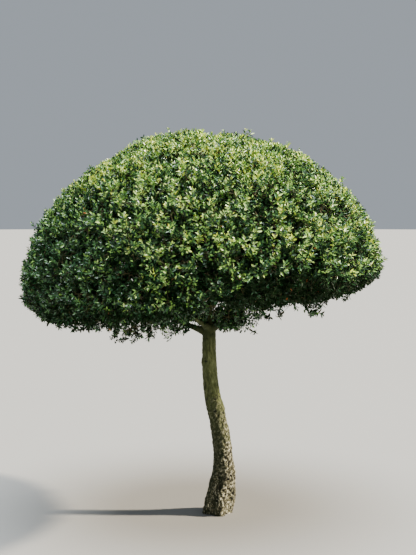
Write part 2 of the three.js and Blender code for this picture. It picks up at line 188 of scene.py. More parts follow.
def bough_places(bearing, fork_height):
    """The bends of a side bough, from the middle of the stem to the heart of its mass."""
    root = stem_at(fork_height)
    under = np.array([DOME_MIDDLE_X, 0, 0]) + outwards(float(bearing)) * BOUGH_SPREAD
    reach = under_core(under[0], under[1]) - root
    return [root, *[root + reach * (out, out, up) for out, up in BOUGH_BENDS]]


def leader_places():
    """The bends of the leader, which runs on from the stem into the top mass."""
    knee = stem_at(STEM_TOP) + (0, 0, LEADER_KNEE_HEIGHT)
    return [stem_at(LEADER_FROM), knee, knee + np.array(LEADER_KINK), under_core(*LEADER_END)]


BOUGHS = {"top": leader_places()}
BOUGHS.update({name: bough_places(bearing, height) for name, bearing, height in SIDE_MASSES})


def stem_radius(height, angle):
    """Half the stem's width at a height, on one side of it."""
    taper = STEM_FOOT_RADIUS + (STEM_FORK_RADIUS - STEM_FOOT_RADIUS) * height / STEM_TOP
    flare = 1 / (1 + math.exp((height - FLARE_HEIGHT) / FLARE_EASE))
    lobes = FLARE_LOBE_DEPTH * flare * math.cos(FLARE_LOBES * angle + FLARE_TURN)
    shoulder = min(1, max(0, (height - STEM_TOP + STEM_SHOULDER) / STEM_SHOULDER))
    shoulder = shoulder**2 * (3 - 2 * shoulder)
    knots = KNOT_DEPTH * math.sin(KNOTS_ROUND * angle + height / KNOT_WAVE) * (1 - shoulder)
    side = (taper + FLARE_WIDTH * flare) * (1 + lobes + knots)
    for burr_height, burr_angle, size, depth in BURRS:
        turn = math.radians(burr_angle) - angle
        away = (height - burr_height) ** 2 + (2 * side * math.sin(turn / 2)) ** 2
        side += depth * math.exp(-away / size**2)
    return side + (STEM_TOP_RADIUS - side) * shoulder


def add_tube(mesh, course, sides, radius):
    """Adds a closed tube along a course. radius(i, angle) is its half width at a point of it."""
    ways = np.gradient(course, axis=0)
    across = Vector((1, 0, 0))
    rings = []
    for i, (centre, way) in enumerate(zip(course, ways)):
        way = Vector(way).normalized()
        across = (across - way * across.dot(way)).normalized()
        aside = way.cross(across)
        angles = [k * math.tau / sides for k in range(sides)]
        spokes = [(across * math.cos(a) + aside * math.sin(a)) * radius(i, a) for a in angles]
        rings.append([mesh.verts.new((Vector(centre) + spoke) * MM) for spoke in spokes])
    for low, high in zip(rings, rings[1:]):
        for k in range(sides):
            after = (k + 1) % sides
            mesh.faces.new((low[k], low[after], high[after], high[k]))
    mesh.faces.new(rings[0][::-1])
    mesh.faces.new(rings[-1])


def new_object(name, mesh):
    made = bpy.data.objects.new(name, mesh)
    bpy.context.scene.collection.objects.link(made)
    return made


STEM_RINGS = 90
STEM_SIDES = 48
BOUGH_RINGS = 40
BOUGH_SIDES = 20
MASS_STEM_RINGS = 8
FOOT_DROP = 6
OVAL_TURNS_OVER = 5
tubes = bmesh.new()
stem_course = smooth_path(STEM_BOW, STEM_RINGS)
# The tube starts a little low, so that the level cut at the ground goes through solid wood.
stem_course[0, 2] -= FOOT_DROP
add_tube(tubes, stem_course, STEM_SIDES, lambda i, a: stem_radius(stem_course[i][2], a))
for name, places in BOUGHS.items():
    course = smooth_path(places, BOUGH_RINGS)
    way = course[-1] - course[-2]
    stem_end = course[-1] + way / np.linalg.norm(way) * MASS_STEM_LENGTH
    course = np.vstack([course, np.linspace(course[-1], stem_end, MASS_STEM_RINGS)[1:]])
    gone = np.linalg.norm(course - course[0], axis=1)
    share = np.minimum(1, np.arange(len(course)) / (BOUGH_RINGS - 1))
    girth = BOUGH_RADIUS + (BOUGH_TIP_RADIUS - BOUGH_RADIUS) * share**BOUGH_TAPER
    girth += COLLAR_WIDTH * np.exp(-((gone / COLLAR_LENGTH) ** 2))

    def bough_radius(i, angle):
        return girth[i] * (1 + BOUGH_OVAL * math.sin(2 * angle + i / OVAL_TURNS_OVER))

    add_tube(tubes, course, BOUGH_SIDES, bough_radius)

bark_mesh = bpy.data.meshes.new("stem_and_boughs")
tubes.to_mesh(bark_mesh)
tubes.free()
bark = new_object("stem_and_boughs", bark_mesh)


def bake_modifiers(made):
    """Turns an object's modifiers into its mesh."""
    graph = bpy.context.evaluated_depsgraph_get()
    mesh = bpy.data.meshes.new_from_object(made.evaluated_get(graph))
    made.modifiers.clear()
    made.data = mesh


BARK_VOXEL = 3.0
joined = bark.modifiers.new("Joined", "REMESH")
joined.mode = "VOXEL"
joined.voxel_size = BARK_VOXEL * MM
eased = bark.modifiers.new("Eased", "SMOOTH")
eased.factor = 0.5
eased.iterations = 6
bake_modifiers(bark)

# Relief: swellings, flakes and the pits of old lenticels, deepest on the old bark near the ground.
# The sizes are across the pattern; heights and depths are how far it stands out or sinks in.
SWELLING_SIZE = 50
SWELLING_HEIGHT = 3.2
FLAKE_SIZE = 12
FLAKE_HEIGHT = 3.8
FLAKE_EDGE = 9
PIT_SEED = 7
PIT_SPACINGS = [26, 14]
PIT_REACH = 0.40
PIT_ROUNDNESS = 0.7
PIT_DEPTH = 6.0
SMALL_PIT_DEPTH = 3.0
SMALL_PIT_DARKNESS = 0.8
PIT_RAGGED_SIZE = 9
PIT_RAGGEDNESS = 6.5
PITS_LEFT_OUT = 0.4
PITS_IN_YOUNG = 0.2
CROWD_SIZE = 60
CROWD_LEVEL = -0.16
GRAIN_SIZE = 6
GRAIN_HEIGHT = 0.8
OLD_BARK_BELOW = 750
AGE_POWER = 0.7
YOUNG_RELIEF = 0.25
LIMBS_ABOVE = 930
LIMB_RELIEF = 0.5
# Below this the wood ends in the level cut at the ground.
FOOT_CUT = 4
count = len(bark.data.vertices)
places = np.empty(count * 3)
normals = np.empty(count * 3)
bark.data.vertices.foreach_get("co", places)
bark.data.vertices.foreach_get("normal", normals)
places = places.reshape(-1, 3) / MM
normals = normals.reshape(-1, 3)


def noise_at(points, size, stretch, seed):
    """Smooth noise from -1 to 1 at points, drawn out along the stem."""
    scale = np.array([1, 1, 1 / stretch]) / size
    return np.array([noise.noise(Vector(p)) for p in points * scale + seed])


def pit_at(points, spacing):
    """1 in the middle of a pit, falling to 0 at its edge; pits come in crowds."""
    bent = [noise.noise_vector(Vector(p)) for p in points / PIT_RAGGED_SIZE]
    points = points + PIT_RAGGEDNESS * np.array(bent)
    found = [noise.voronoi(Vector(p)) for p in points / spacing]
    near = np.array([distances[0] for distances, _ in found])
    kept = np.array([noise.cell(centres[0] * 7.0) for _, centres in found]) > PITS_LEFT_OUT
    crowded = noise_at(points, CROWD_SIZE, 1.0, 31.0) > CROWD_LEVEL
    return np.clip(1 - near / PIT_REACH, 0, 1) ** PIT_ROUNDNESS * kept * crowded


age = np.clip(1 - places[:, 2] / OLD_BARK_BELOW, 0, 1) ** AGE_POWER
age = YOUNG_RELIEF + (1 - YOUNG_RELIEF) * age
flakes = np.tanh(FLAKE_EDGE * noise_at(places, FLAKE_SIZE, 1.4, 9.0))
noise.seed_set(PIT_SEED)
large_pits, small_pits = [pit_at(places, spacing) for spacing in PIT_SPACINGS]
relief = SWELLING_HEIGHT * noise_at(places, SWELLING_SIZE, 1.3, 3.0) * age
relief += FLAKE_HEIGHT / 2 * flakes * age
relief -= (PIT_DEPTH * large_pits + SMALL_PIT_DEPTH * small_pits) * age
relief += GRAIN_HEIGHT * noise_at(places, GRAIN_SIZE, 3.0, 17.0)
relief *= np.where(places[:, 2] < LIMBS_ABOVE, 1.0, LIMB_RELIEF)
# The material reads where the pits and flakes are from the mesh.
pits = np.maximum(large_pits, SMALL_PIT_DARKNESS * small_pits) * np.clip(PITS_IN_YOUNG + age, 0, 1)
for name, values in [("pit", pits), ("flake", flakes)]:
    bark.data.attributes.new(name, "FLOAT", "POINT").data.foreach_set("value", values)
places += normals * relief[:, None]
places[:, 2] = np.where(places[:, 2] < FOOT_CUT, 0, places[:, 2])
bark.data.vertices.foreach_set("co", places.ravel() * MM)
bark.data.update()
bark.data.shade_smooth()


def linear(hex_colour):
    """The linear colour of an sRGB hex value."""
    parts = [int(hex_colour[i : i + 2], 16) / 255 for i in (1, 3, 5)]
    return [p / 12.92 if p <= 0.04045 else ((p + 0.055) / 1.055) ** 2.4 for p in parts] + [1.0]


def put(tree, kind, inputs=None, **settings):
    """Adds a node with its settings, and links or sets its inputs."""
    made = tree.nodes.new(kind)
    for name, value in settings.items():
        setattr(made, name, value)
    for key, value in (inputs or {}).items():
        if isinstance(value, bpy.types.NodeSocket):
            tree.links.new(value, made.inputs[key])
        else:
            made.inputs[key].default_value = value
    return made


def new_material(name):
    """An empty material, and its node tree."""
    material = bpy.data.materials.new(name)
    material.use_nodes = True
    material.node_tree.nodes.clear()
    return material, material.node_tree


def finish_material(tree, inputs):
    """Adds the surface shader and the output."""
    shader = put(tree, "ShaderNodeBsdfPrincipled", inputs)
    put(tree, "ShaderNodeOutputMaterial", {"Surface": shader.outputs["BSDF"]})


def ramp(tree, factor, stops):
    """The colour between stops at a factor."""
    made = put(tree, "ShaderNodeValToRGB", {"Fac": factor})
    elements = made.color_ramp.elements
    while len(elements) < len(stops):
        elements.new(0.5)
    for element, (position, colour) in zip(elements, stops):
        element.position = position
        element.color = linear(colour)
    return made.outputs["Color"]


OLD_BARK = [(0.36, "#201e14"), (0.45, "#5d593f"), (0.51, "#b1ab86"), (0.57, "#dcd6b2"),
            (0.66, "#f6f0d4")]
SMOOTH_BARK = [(0.32, "#2f3416"), (0.47, "#626a38"), (0.60, "#868d58"), (0.76, "#aab07e")]
# Sizes of the patterns in the bark's colour.
SPECKLE_SIZE = 10
STAIN_SIZE = 34
SMOOTH_SIZE = 13
PLATE_SIZE = 12
AGE_EDGE_SIZE = 70
PIT_EDGE_SIZE = 8
SHADE_EDGE_SIZE = 30
CORK_SIZE = 4.5
CORK_DEPTH = 2.2
# Heights between which old bark gives way to young, and the painted shade on the side away from the
# key light thins out.
AGE_ZONE = (520, 820)
SHADE_THINNING_ZONE = (400, 620)
# Heights between which the painted shade reaches further round the stem, and then less far again;
# above the foot zone it reaches a little further round.
WRAP_ZONE = (285, 375)
UNWRAP_ZONE = (530, 620)
FOOT_ZONE = (120, 280)
# Heights between which the leaves begin to shade the wood, and let light in again above the fork.
SHADE_ZONE = (840, 930)
LIT_ZONE = (970, 1050)


def bark_material():
    # Old evergreen bark weathers in corky plates, pale grey-beige over dark, with black pits; it is
    # smoother and greener higher up, where it is younger. Painted shade darkens the side away from the
    # key light and the wood close under the leaves. It is dull all over.
    material, tree = new_material("weathered_evergreen_bark")
    place = put(tree, "ShaderNodeTexCoord").outputs["Object"]

    def drawn_out(stretch):
        """Places squeezed along the stem, so that a pattern over them is drawn out along it."""
        scale = (1.0, 1.0, 1 / stretch)
        return put(tree, "ShaderNodeMapping", {"Vector": place, "Scale": scale}).outputs["Vector"]

    def spots(size, detail, stretch=1.0):
        inputs = {"Vector": drawn_out(stretch), "Scale": 1 / (size * MM), "Detail": detail}
        return put(tree, "ShaderNodeTexNoise", {**inputs, "Roughness": 0.68}).outputs["Fac"]

    def crack_distance(size, stretch):
        """0 along the cracks between plates of bark, rising to their middles."""
        inputs = {"Vector": place, "Scale": 1.6 / (size * MM), "Detail": 3.0}
        bent = put(tree, "ShaderNodeTexNoise", inputs)
        warped = put(tree, "ShaderNodeVectorMath",
                     {0: bent.outputs["Color"], 1: [1.2 * size * MM] * 3, 2: drawn_out(stretch)},
                     operation="MULTIPLY_ADD").outputs[0]
        return put(tree, "ShaderNodeTexVoronoi", {"Vector": warped, "Scale": 1 / (size * MM)},
                   feature="DISTANCE_TO_EDGE").outputs["Distance"]

    def stored(name):
        """A value kept in the mesh, such as where the pits are."""
        return put(tree, "ShaderNodeAttribute", attribute_name=name).outputs["Fac"]

    def mixed(factor, first, second):
        inputs = {"Factor": factor, "A": first, "B": second}
        return put(tree, "ShaderNodeMix", inputs, data_type="RGBA").outputs["Result"]

    def eased(value, low, high):
        """0 at low, rising evenly to 1 at high."""
        inputs = {"Value": value, "From Min": low, "From Max": high}
        return put(tree, "ShaderNodeMapRange", inputs).outputs["Result"]

    def over(zone):
        """0 below a zone of heights, rising to 1 above it."""
        return eased(height, zone[0] * MM, zone[1] * MM)

    def weighed(value, weight, rest):
        """value * weight + rest"""
        inputs = {0: value, 1: weight, 2: rest}
        return put(tree, "ShaderNodeMath", inputs, operation="MULTIPLY_ADD").outputs[0]

    # Pale flakes stand proud of dark bark, stained in patches and cracked into plates.
    flaked = weighed(stored("flake"), 0.06, spots(SPECKLE_SIZE, 6.0))
    stain = eased(spots(STAIN_SIZE, 4.0, 1.6), 0.44, 0.58)
    old = mixed(weighed(stain, 0.50, 0.43), linear("#2e2d22"), ramp(tree, flaked, OLD_BARK))
    cracks = crack_distance(PLATE_SIZE, 1.5)
    old = mixed(eased(cracks, 0.12, 0.01), old, linear("#1b1a10"))
    young = mixed(0.35, ramp(tree, spots(SMOOTH_SIZE, 5.0, 3.5), SMOOTH_BARK), linear("#23251a"))
    # Young bark takes over up the stem, along a ragged edge.
    height = put(tree, "ShaderNodeSeparateXYZ", {"Vector": place}).outputs["Z"]
    ragged = weighed(spots(AGE_EDGE_SIZE, 3.0), 0.4, height)
    colour = mixed(eased(ragged, AGE_ZONE[0] * MM, AGE_ZONE[1] * MM), old, young)
    # The pits are darker: the bark's own dark, deepened with painted shade in the hollows.
    ragged = weighed(spots(PIT_EDGE_SIZE, 3.0), 0.5, stored("pit"))
    colour = mixed(eased(ragged, 0.42, 0.56), colour, linear("#17160d"))
    # Painted shade darkens the side away from the key light, along a ragged edge and further round in
    # places, and the wood close under the leaves, less so again above the fork.
    facing = put(tree, "ShaderNodeTexCoord").outputs["Normal"]
    sunward = put(tree, "ShaderNodeSeparateXYZ", {"Vector": facing}).outputs["X"]
    wrapped = weighed(over(UNWRAP_ZONE), -1.0, over(WRAP_ZONE))
    sunward = weighed(over(FOOT_ZONE), -0.17, weighed(wrapped, -0.44, sunward))
    painted_shade = eased(weighed(spots(SHADE_EDGE_SIZE, 4.0, 2.0), -1.1, sunward), -0.58, -0.98)
    shade_kept_low = weighed(over(SHADE_THINNING_ZONE), -0.38, 0.80)
    painted_shade = put(tree, "ShaderNodeMath", {0: painted_shade, 1: shade_kept_low}, operation="MULTIPLY").outputs[0]
    colour = mixed(painted_shade, colour, linear("#222b13"))
    shaded = weighed(over(LIT_ZONE), -0.5, weighed(over(SHADE_ZONE), 0.80, 0.0))
    colour = mixed(shaded, colour, linear("#1e270a"))
    rough = weighed(eased(cracks, 0.0, 0.14), 0.35, spots(CORK_SIZE, 4.0, 2.0))
    bump = put(tree, "ShaderNodeBump", {"Height": rough, "Strength": 0.9, "Distance": CORK_DEPTH * MM})
    finish_material(tree, {"Base Color": colour, "Roughness": 0.88, "Specular IOR Level": 0.3,
                           "Normal": bump.outputs["Normal"]})
    return material


bark.data.materials.append(bark_material())
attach(bark, "root")
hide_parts("trunk", "leader", *[f"bough_{name}" for name, _, _ in SIDE_MASSES])

# Twigs.
# Live wood again, thin and flexible, grown on from the end of every bough. It forks again and again,
# each time in two, until each twig carries one leafy shoot at the clipped face of the dome.

# How many shoots stand on the clipped face, inside it, over the underside, and stray from it.
SHOOTS_ABOVE = 8000
SHOOTS_INSIDE = 2200
SHOOTS_BELOW = 1700
STRAY_SHOOTS = 170
GROWTH_SEED = 11
GOLDEN_ANGLE = 137.508
FLATTENED = 0.74
UNEVENLY_SPACED = 0.8
HEART_ABOVE_RIM = 120
# How far down each layer goes, from 1 straight up to -1 straight down, and how much denser its top.
SPAN_ABOVE = 1.42
SPAN_INSIDE = 1.46
DENSER_TOP = 1.10
UNDERSIDE_FROM = -0.36
UNDERSIDE_SPAN = 0.54
STRAYS_FROM = -0.1
# How far the shoots of each layer turn up to the light, and how unevenly they lean.
FACE_LIFT, FACE_LEAN = 0.5, 0.5
INNER_LIFT, INNER_LEAN = 0.3, 0.8
UNDERSIDE_LIFT, UNDERSIDE_LEAN = 0, 0.9
STRAY_LIFT, STRAY_LEAN = 0.7, 0.4
# How far the tips stand out of the clipped face, or stay back from it and from the underside.
STRAY_REACH = (4, 36)
TIP_DEPTH = 5
UNDERSIDE_DEPTH = (5, 45)
INNER_DEPTH = (50, 130)
INNER_DEPTH_BELOW = 40
# The face is tufted, less so near the top.
TUFT_DEPTH = 66
TUFT_SIZE = 78
TUFT_LEVEL = 0.14
FINE_DEPTH = 40
FINE_SIZE = 29
FINE_LEVEL = 0.16
UNEVEN_BELOW = 0.4
SMOOTH_ABOVE = 1650
SMOOTH_EASE = 200
SMOOTH_SHARE = 0.45
# Under a lip that is higher on the sunny side, it is undercut: places along X, and heights there.
LIP_PLACES = [-50, 110, 340, 500]
LIP_HEIGHTS = [1140, 1290, 1325, 1280]
UNDERCUT_EASE = 170
UNDERCUT_DEPTH = 60
# The notch in the skirt, before the fork of the stem.
NOTCH_X = -18
NOTCH_HALF_WIDTH = 62
NOTCH_BEHIND = -200
NOTCH_TOP = 1168
SHOOT_LENGTH = 58
SHOOT_VARIATION = (0.8, 1.15)
SHOOT_SWELL = 1.15
SHOOT_TIP_RADIUS = 0.45
FIRST_FORK_INSET = 15
TWIG_RADIUS = 1.0
TWIG_SIDES = 3
TWIG_TAPER = [1, 0.97, 0.94]
TWIG_BEND = 0.05
# Twigs that carry more shoots than this have a bend.
BENT_ABOVE = 3
GIRTH_POWER = 0.315
FORK_SHARE = 0.36
FORK_UNEVENNESS = 0.14
# The seam between the top mass and the side masses is a pentagon in plan.
SEAM_RADIUS = 330
SEAM_HALF_ANGLE = 36
# Loose sprays under the head: bearing, reach from the dome's middle, height, spread, shoots.
HANGING_SPRAYS = [
    (186, 420, 950, 45, 24), (196, 290, 958, 50, 26), (212, 175, 998, 50, 26),
    (232, 250, 1000, 50, 24), (258, 240, 1075, 48, 34), (240, 330, 1060, 60, 34),
    (315, 215, 1040, 40, 24), (322, 160, 1000, 30, 20), (318, 420, 1092, 45, 24),
    (334, 600, 1108, 45, 22), (344, 720, 1168, 40, 20), (12, 150, 975, 34, 26),
    (350, 190, 1010, 42, 30), (40, 250, 1000, 60, 30), (85, 170, 1040, 45, 34),
    (150, 45, 1012, 32, 18), (100, 160, 1030, 60, 24), (128, 430, 1050, 60, 24),
]
SPRAY_REACH = 1.6
SPRAY_FLATNESS = 0.6
# Which way a loose spray hangs: turned from its bearing, and how far out and down.
SPRAY_TURN = 60
SPRAY_ASIDE = 0.4
SPRAY_DROOP = 0.6
SPRAY_LEAN = 0.9

random = np.random.default_rng(GROWTH_SEED)
HEART = np.array([DOME_MIDDLE_X, 0, RIM_HEIGHT + HEART_ABOVE_RIM])


def unit(vectors):
    return vectors / np.linalg.norm(vectors, axis=-1, keepdims=True)


def dome_exit(rays, depth, depth_below):
    """Where rays from the dome's heart pass out through a skin, found by halving."""
    halvings = 24
    inner = np.zeros(len(rays))
    outer = np.full(len(rays), 2.0 * DOME_RADIUS)
    for _ in range(halvings):
        middle = (inner + outer) / 2
        points = HEART + rays * middle[:, None]
        share, top, bottom = dome_at(points[:, 0], points[:, 1], depth, depth_below)
        inside = (share < 1) & (points[:, 2] < top) & (points[:, 2] > bottom)
        inner = np.where(inside, middle, inner)
        outer = np.where(inside, outer, middle)
    return HEART + rays * inner[:, None]


def dome_facing(rays):
    """The way the dome faces where rays leave it, from three rays close round each."""
    apart = 0.03
    side = unit(np.cross(rays, [0.2, 0.1, 1.0]))
    other = np.cross(rays, side)
    corners = []
    for turn in (0, 120, 240):
        lean = side * math.cos(math.radians(turn)) + other * math.sin(math.radians(turn))
        corners.append(dome_exit(unit(rays + apart * lean), 0, 0))
    facing = unit(np.cross(corners[1] - corners[0], corners[2] - corners[0]))
    return facing * np.sign(np.sum(facing * rays, axis=1, keepdims=True))


def rays_by_golden_angle(ups, unevenness):
    """Unit rays from the heart, spread evenly round it at given rises."""
    turn = np.arange(len(ups)) * GOLDEN_ANGLE
    rays = outwards(turn) * np.sqrt(1 - ups**2)[:, None]
    rays[:, 2] = FLATTENED * ups
    return unit(unit(rays) + random.uniform(-unevenness, unevenness, rays.shape))


def below_lip(points, ease):
    """0 over the lit lip of the dome, rising to 1 where the face turns under it."""
    lip = np.interp(points[:, 0], LIP_PLACES, LIP_HEIGHTS)
    return np.clip((lip - points[:, 2]) / ease, 0, 1)


def dome_shoots(ups, depths, depths_below, lift, lean):
    """Tips of shoots near the dome's skin, the ways they point, and how far tufting sinks them."""
    rays = rays_by_golden_angle(ups, UNEVENLY_SPACED / math.sqrt(len(ups)))
    skin = dome_exit(rays, 0, 0)
    tufts = np.array([noise.noise(Vector(p / TUFT_SIZE)) for p in skin])
    fine = np.array([noise.noise(Vector(p / FINE_SIZE + 40)) for p in skin])
    uneven = TUFT_DEPTH * np.clip(TUFT_LEVEL - tufts, 0, 1)
    uneven += FINE_DEPTH * np.clip(FINE_LEVEL - fine, 0, 1)
    uneven *= 1 - SMOOTH_SHARE * np.clip((skin[:, 2] - SMOOTH_ABOVE) / SMOOTH_EASE, 0, 1)
    undercut = UNDERCUT_DEPTH * below_lip(skin, UNDERCUT_EASE)
    at = dome_exit(rays, depths + uneven + undercut, depths_below + UNEVEN_BELOW * uneven)
    facing = unit(dome_facing(rays) + (0, 0, lift) + random.uniform(-lean, lean, at.shape))
    return at, facing, uneven


ups = 1 - SPAN_ABOVE * ((np.arange(SHOOTS_ABOVE) + 0.4) / SHOOTS_ABOVE) ** DENSER_TOP
outer = dome_shoots(ups, TIP_DEPTH, TIP_DEPTH, FACE_LIFT, FACE_LEAN)
ups = 1 - SPAN_INSIDE * ((np.arange(SHOOTS_INSIDE) + 0.4) / SHOOTS_INSIDE) ** DENSER_TOP
depths = random.uniform(*INNER_DEPTH, SHOOTS_INSIDE)
inner = dome_shoots(ups, depths, INNER_DEPTH_BELOW, INNER_LIFT, INNER_LEAN)
ups = UNDERSIDE_FROM - UNDERSIDE_SPAN * (np.arange(SHOOTS_BELOW) + 0.5) / SHOOTS_BELOW
depths = random.uniform(*UNDERSIDE_DEPTH, SHOOTS_BELOW)
below = dome_shoots(ups, TIP_DEPTH, depths, UNDERSIDE_LIFT, UNDERSIDE_LEAN)
ups = random.uniform(STRAYS_FROM, 1, STRAY_SHOOTS)
depths = -random.uniform(*STRAY_REACH, STRAY_SHOOTS)
stray = dome_shoots(ups, depths, 0, STRAY_LIFT, STRAY_LEAN)
hanging_at, hanging_facing = [], []
for bearing, out, height, spread, number in HANGING_SPRAYS:
    middle = np.array([DOME_MIDDLE_X, 0, height]) + outwards(float(bearing)) * out
    scattered = random.normal(0, 1, (number, 3)).clip(-SPRAY_REACH, SPRAY_REACH)
    hanging_at.append(middle + scattered * spread * (1, 1, SPRAY_FLATNESS))
    sideways = outwards(float(bearing + SPRAY_TURN)) * SPRAY_ASIDE - (0, 0, SPRAY_DROOP)
    hanging_facing.append(unit(sideways + random.uniform(-SPRAY_LEAN, SPRAY_LEAN, (number, 3))))
hanging_at = np.vstack(hanging_at)
hanging = hanging_at, np.vstack(hanging_facing), np.zeros(len(hanging_at))
stray = stray[0], stray[1], np.zeros(STRAY_SHOOTS)
parts = [outer, stray, inner, below, hanging]
tips, facings, sunk = [np.concatenate([part[k] for part in parts]) for k in range(3)]
FACE, INSIDE, UNDERSIDE, HANGING = range(4)
layers = np.repeat([FACE, FACE, INSIDE, UNDERSIDE, HANGING], [len(part[0]) for part in parts])

in_notch = (np.abs(tips[:, 0] - NOTCH_X) < NOTCH_HALF_WIDTH) & (tips[:, 1] < NOTCH_BEHIND)
kept = ~(in_notch & (tips[:, 2] < NOTCH_TOP) & (layers != HANGING))
tips, facings, layers, sunk = tips[kept], facings[kept], layers[kept], sunk[kept]

# The mass each shoot belongs to: the top one inside the seam, or that of the nearest bearing.
around = np.degrees(np.arctan2(tips[:, 1], tips[:, 0] - DOME_MIDDLE_X)) % 360
out = np.hypot(tips[:, 1], tips[:, 0] - DOME_MIDDLE_X)
bearings = np.array([bearing for _, bearing, _ in SIDE_MASSES])
turns = (around[:, None] - bearings + 180) % 360 - 180
nearest = np.argmin(np.abs(turns), axis=1)
to_side = out * np.cos(np.radians(turns[np.arange(len(out)), nearest]))
seam = SEAM_RADIUS * math.cos(math.radians(SEAM_HALF_ANGLE))
owner = np.where(to_side < seam, len(SIDE_MASSES), nearest)
MASS_NAMES = [name for name, _, _ in SIDE_MASSES] + ["top"]


def fork(start, members, limbs):
    """The growth rule: run part of the way to the middle of the tips, fork in two across their
    widest spread, and go on until each arm has one shoot."""
    if len(members) == 1:
        limbs.append((start, members[0], 1))
        return
    places = tips[members]
    way = (places.mean(axis=0) - start) * FORK_SHARE
    end = start + way + random.normal(0, 1, 3) * FORK_UNEVENNESS * np.linalg.norm(way)
    limbs.append((start, end, len(members)))
    widest = np.argmax(np.ptp(places, axis=0))
    ordered = members[np.argsort(places[:, widest])]
    half = (len(members) + 1) // 2
    fork(end, ordered[:half], limbs)
    fork(end, ordered[half:], limbs)


def twig_tree():
    """Geometry Nodes: a round, closed twig along every run of edges, as thick as its radius says."""
    tree = bpy.data.node_groups.new("twigs_along_edges", "GeometryNodeTree")
    tree.interface.new_socket("Geometry", in_out="INPUT", socket_type="NodeSocketGeometry")
    tree.interface.new_socket("Sides", in_out="INPUT", socket_type="NodeSocketInt")
    tree.interface.new_socket("Bark", in_out="INPUT", socket_type="NodeSocketMaterial")
    tree.interface.new_socket("Geometry", in_out="OUTPUT", socket_type="NodeSocketGeometry")
    given = put(tree, "NodeGroupInput")
    radius = put(tree, "GeometryNodeInputNamedAttribute", {"Name": "twig_radius"}, data_type="FLOAT")
    runs = put(tree, "GeometryNodeMeshToCurve", {"Mesh": given.outputs["Geometry"]})
    profile = put(tree, "GeometryNodeCurvePrimitiveCircle",
                  {"Resolution": given.outputs["Sides"], "Radius": 1.0}, mode="RADIUS")
    tubes = put(tree, "GeometryNodeCurveToMesh",
                {"Curve": runs.outputs["Curve"], "Profile Curve": profile.outputs["Curve"],
                 "Scale": radius.outputs["Attribute"], "Fill Caps": True})
    real = put(tree, "GeometryNodeRealizeInstances", {"Geometry": tubes.outputs["Mesh"]})
    round_looking = put(tree, "GeometryNodeSetShadeSmooth", {"Geometry": real.outputs["Geometry"]})
    clad = put(tree, "GeometryNodeSetMaterial",
               {"Geometry": round_looking.outputs["Geometry"], "Material": given.outputs["Bark"]})
    put(tree, "NodeGroupOutput", {"Geometry": clad.outputs["Geometry"]})
    return tree


def grow_with(name, mesh, tree, inputs):
    """Runs a Geometry Nodes tree on a mesh and keeps the result as a plain mesh."""
    made = new_object(name, mesh)
    modifier = made.modifiers.new("Growth", "NODES")
    modifier.node_group = tree
    sockets = [item for item in tree.interface.items_tree if item.in_out == "INPUT"]
    identifiers = {item.name: item.identifier for item in sockets}
    for key, value in inputs.items():
        modifier[identifiers[key]] = value
    bake_modifiers(made)
    return made


TWIG_PATCH_SIZE = 20
TWIG_BARK = [(0.32, "#38311f"), (0.5, "#5a5136"), (0.68, "#77704c")]


def young_bark_material():
    # Two and three year old twigs: smooth, dull, olive-brown in long soft patches.
    material, tree = new_material("young_twig_bark")
    place = put(tree, "ShaderNodeTexCoord").outputs["Object"]
    scale = 1 / (TWIG_PATCH_SIZE * MM)
    patches = put(tree, "ShaderNodeTexNoise", {"Vector": place, "Scale": scale, "Detail": 3.0})
    colour = ramp(tree, patches.outputs["Fac"], TWIG_BARK)
    finish_material(tree, {"Base Color": colour, "Roughness": 0.75, "Specular IOR Level": 0.3})
    return material


twigs = twig_tree()
young_bark = young_bark_material()
shoot_length = SHOOT_LENGTH * random.uniform(*SHOOT_VARIATION, len(tips))
for index, name in enumerate(MASS_NAMES):
    path = smooth_path(BOUGHS[name], BOUGH_RINGS)
    way = (path[-1] - path[-2]) / np.linalg.norm(path[-1] - path[-2])
    first_fork = path[-1] + way * (MASS_STEM_LENGTH - FIRST_FORK_INSET)
    limbs = []
    fork(first_fork, np.flatnonzero(owner == index), limbs)
    verts, edges, radii = [], [], []
    for start, end, carries in limbs:
        girth = TWIG_RADIUS * carries**GIRTH_POWER
        if carries == 1:
            tip = tips[end]
            base = tip - facings[end] * shoot_length[end]
            run = [start, base, tip]
            thick = [girth * SHOOT_SWELL, girth, SHOOT_TIP_RADIUS]
        else:
            bend = (start + end) / 2 + random.normal(0, TWIG_BEND, 3) * np.linalg.norm(end - start)
            run = [start, bend, end] if carries > BENT_ABOVE else [start, end]
            thick = [girth * taper for taper in TWIG_TAPER][: len(run)]
        edges += [(len(verts) + k, len(verts) + k + 1) for k in range(len(run) - 1)]
        verts += run
        radii += thick
    mesh = bpy.data.meshes.new(f"twigs_{name}")
    mesh.from_pydata((np.array(verts) * MM).tolist(), edges, [])
    attribute = mesh.attributes.new("twig_radius", "FLOAT", "POINT")
    attribute.data.foreach_set("value", np.array(radii) * MM)
    grown = grow_with(f"twigs_{name}", mesh, twigs, {"Sides": TWIG_SIDES, "Bark": young_bark})
    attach(grown, "root")
    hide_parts(f"foliage_{name}")

# Leaves.
# Small, leathery, glossy evergreen leaves about 20 mm long stand in crossed pairs along each shoot.
# The newest are yellow-green, the older ones deep green, and a few have turned orange-brown.

LEAF_LENGTH = 23
LEAF_WIDTH = 9.2
LEAF_CURL = 3.4
CURL_TURN = 2.6
# Half of the blade's outline: share of its half width, and share of its length from the stalk.
BLADE_SIDE = [(1, 0.32), (0.84, 0.68)]
SPRAY_SIZES = (0.86, 1.1)
LEAF_SIZES = (0.78, 1.15)
TIP_LEAF_SIZE = 0.72
GAINED_DOWN_SHOOT = 1.6
MOST_GAINED = 0.32
INNER_LEAF_SIZE = 1.8
PAIRS = 7
LEAVES_OPEN = 52
OPEN_FURTHER = 28
OPEN_UNEVENLY = (-0.42, 0.36)
TURNED_UNEVENLY = 0.35
TIPPED_SIDEWAYS = 0.9
TURNED_SHARE = 0.0006
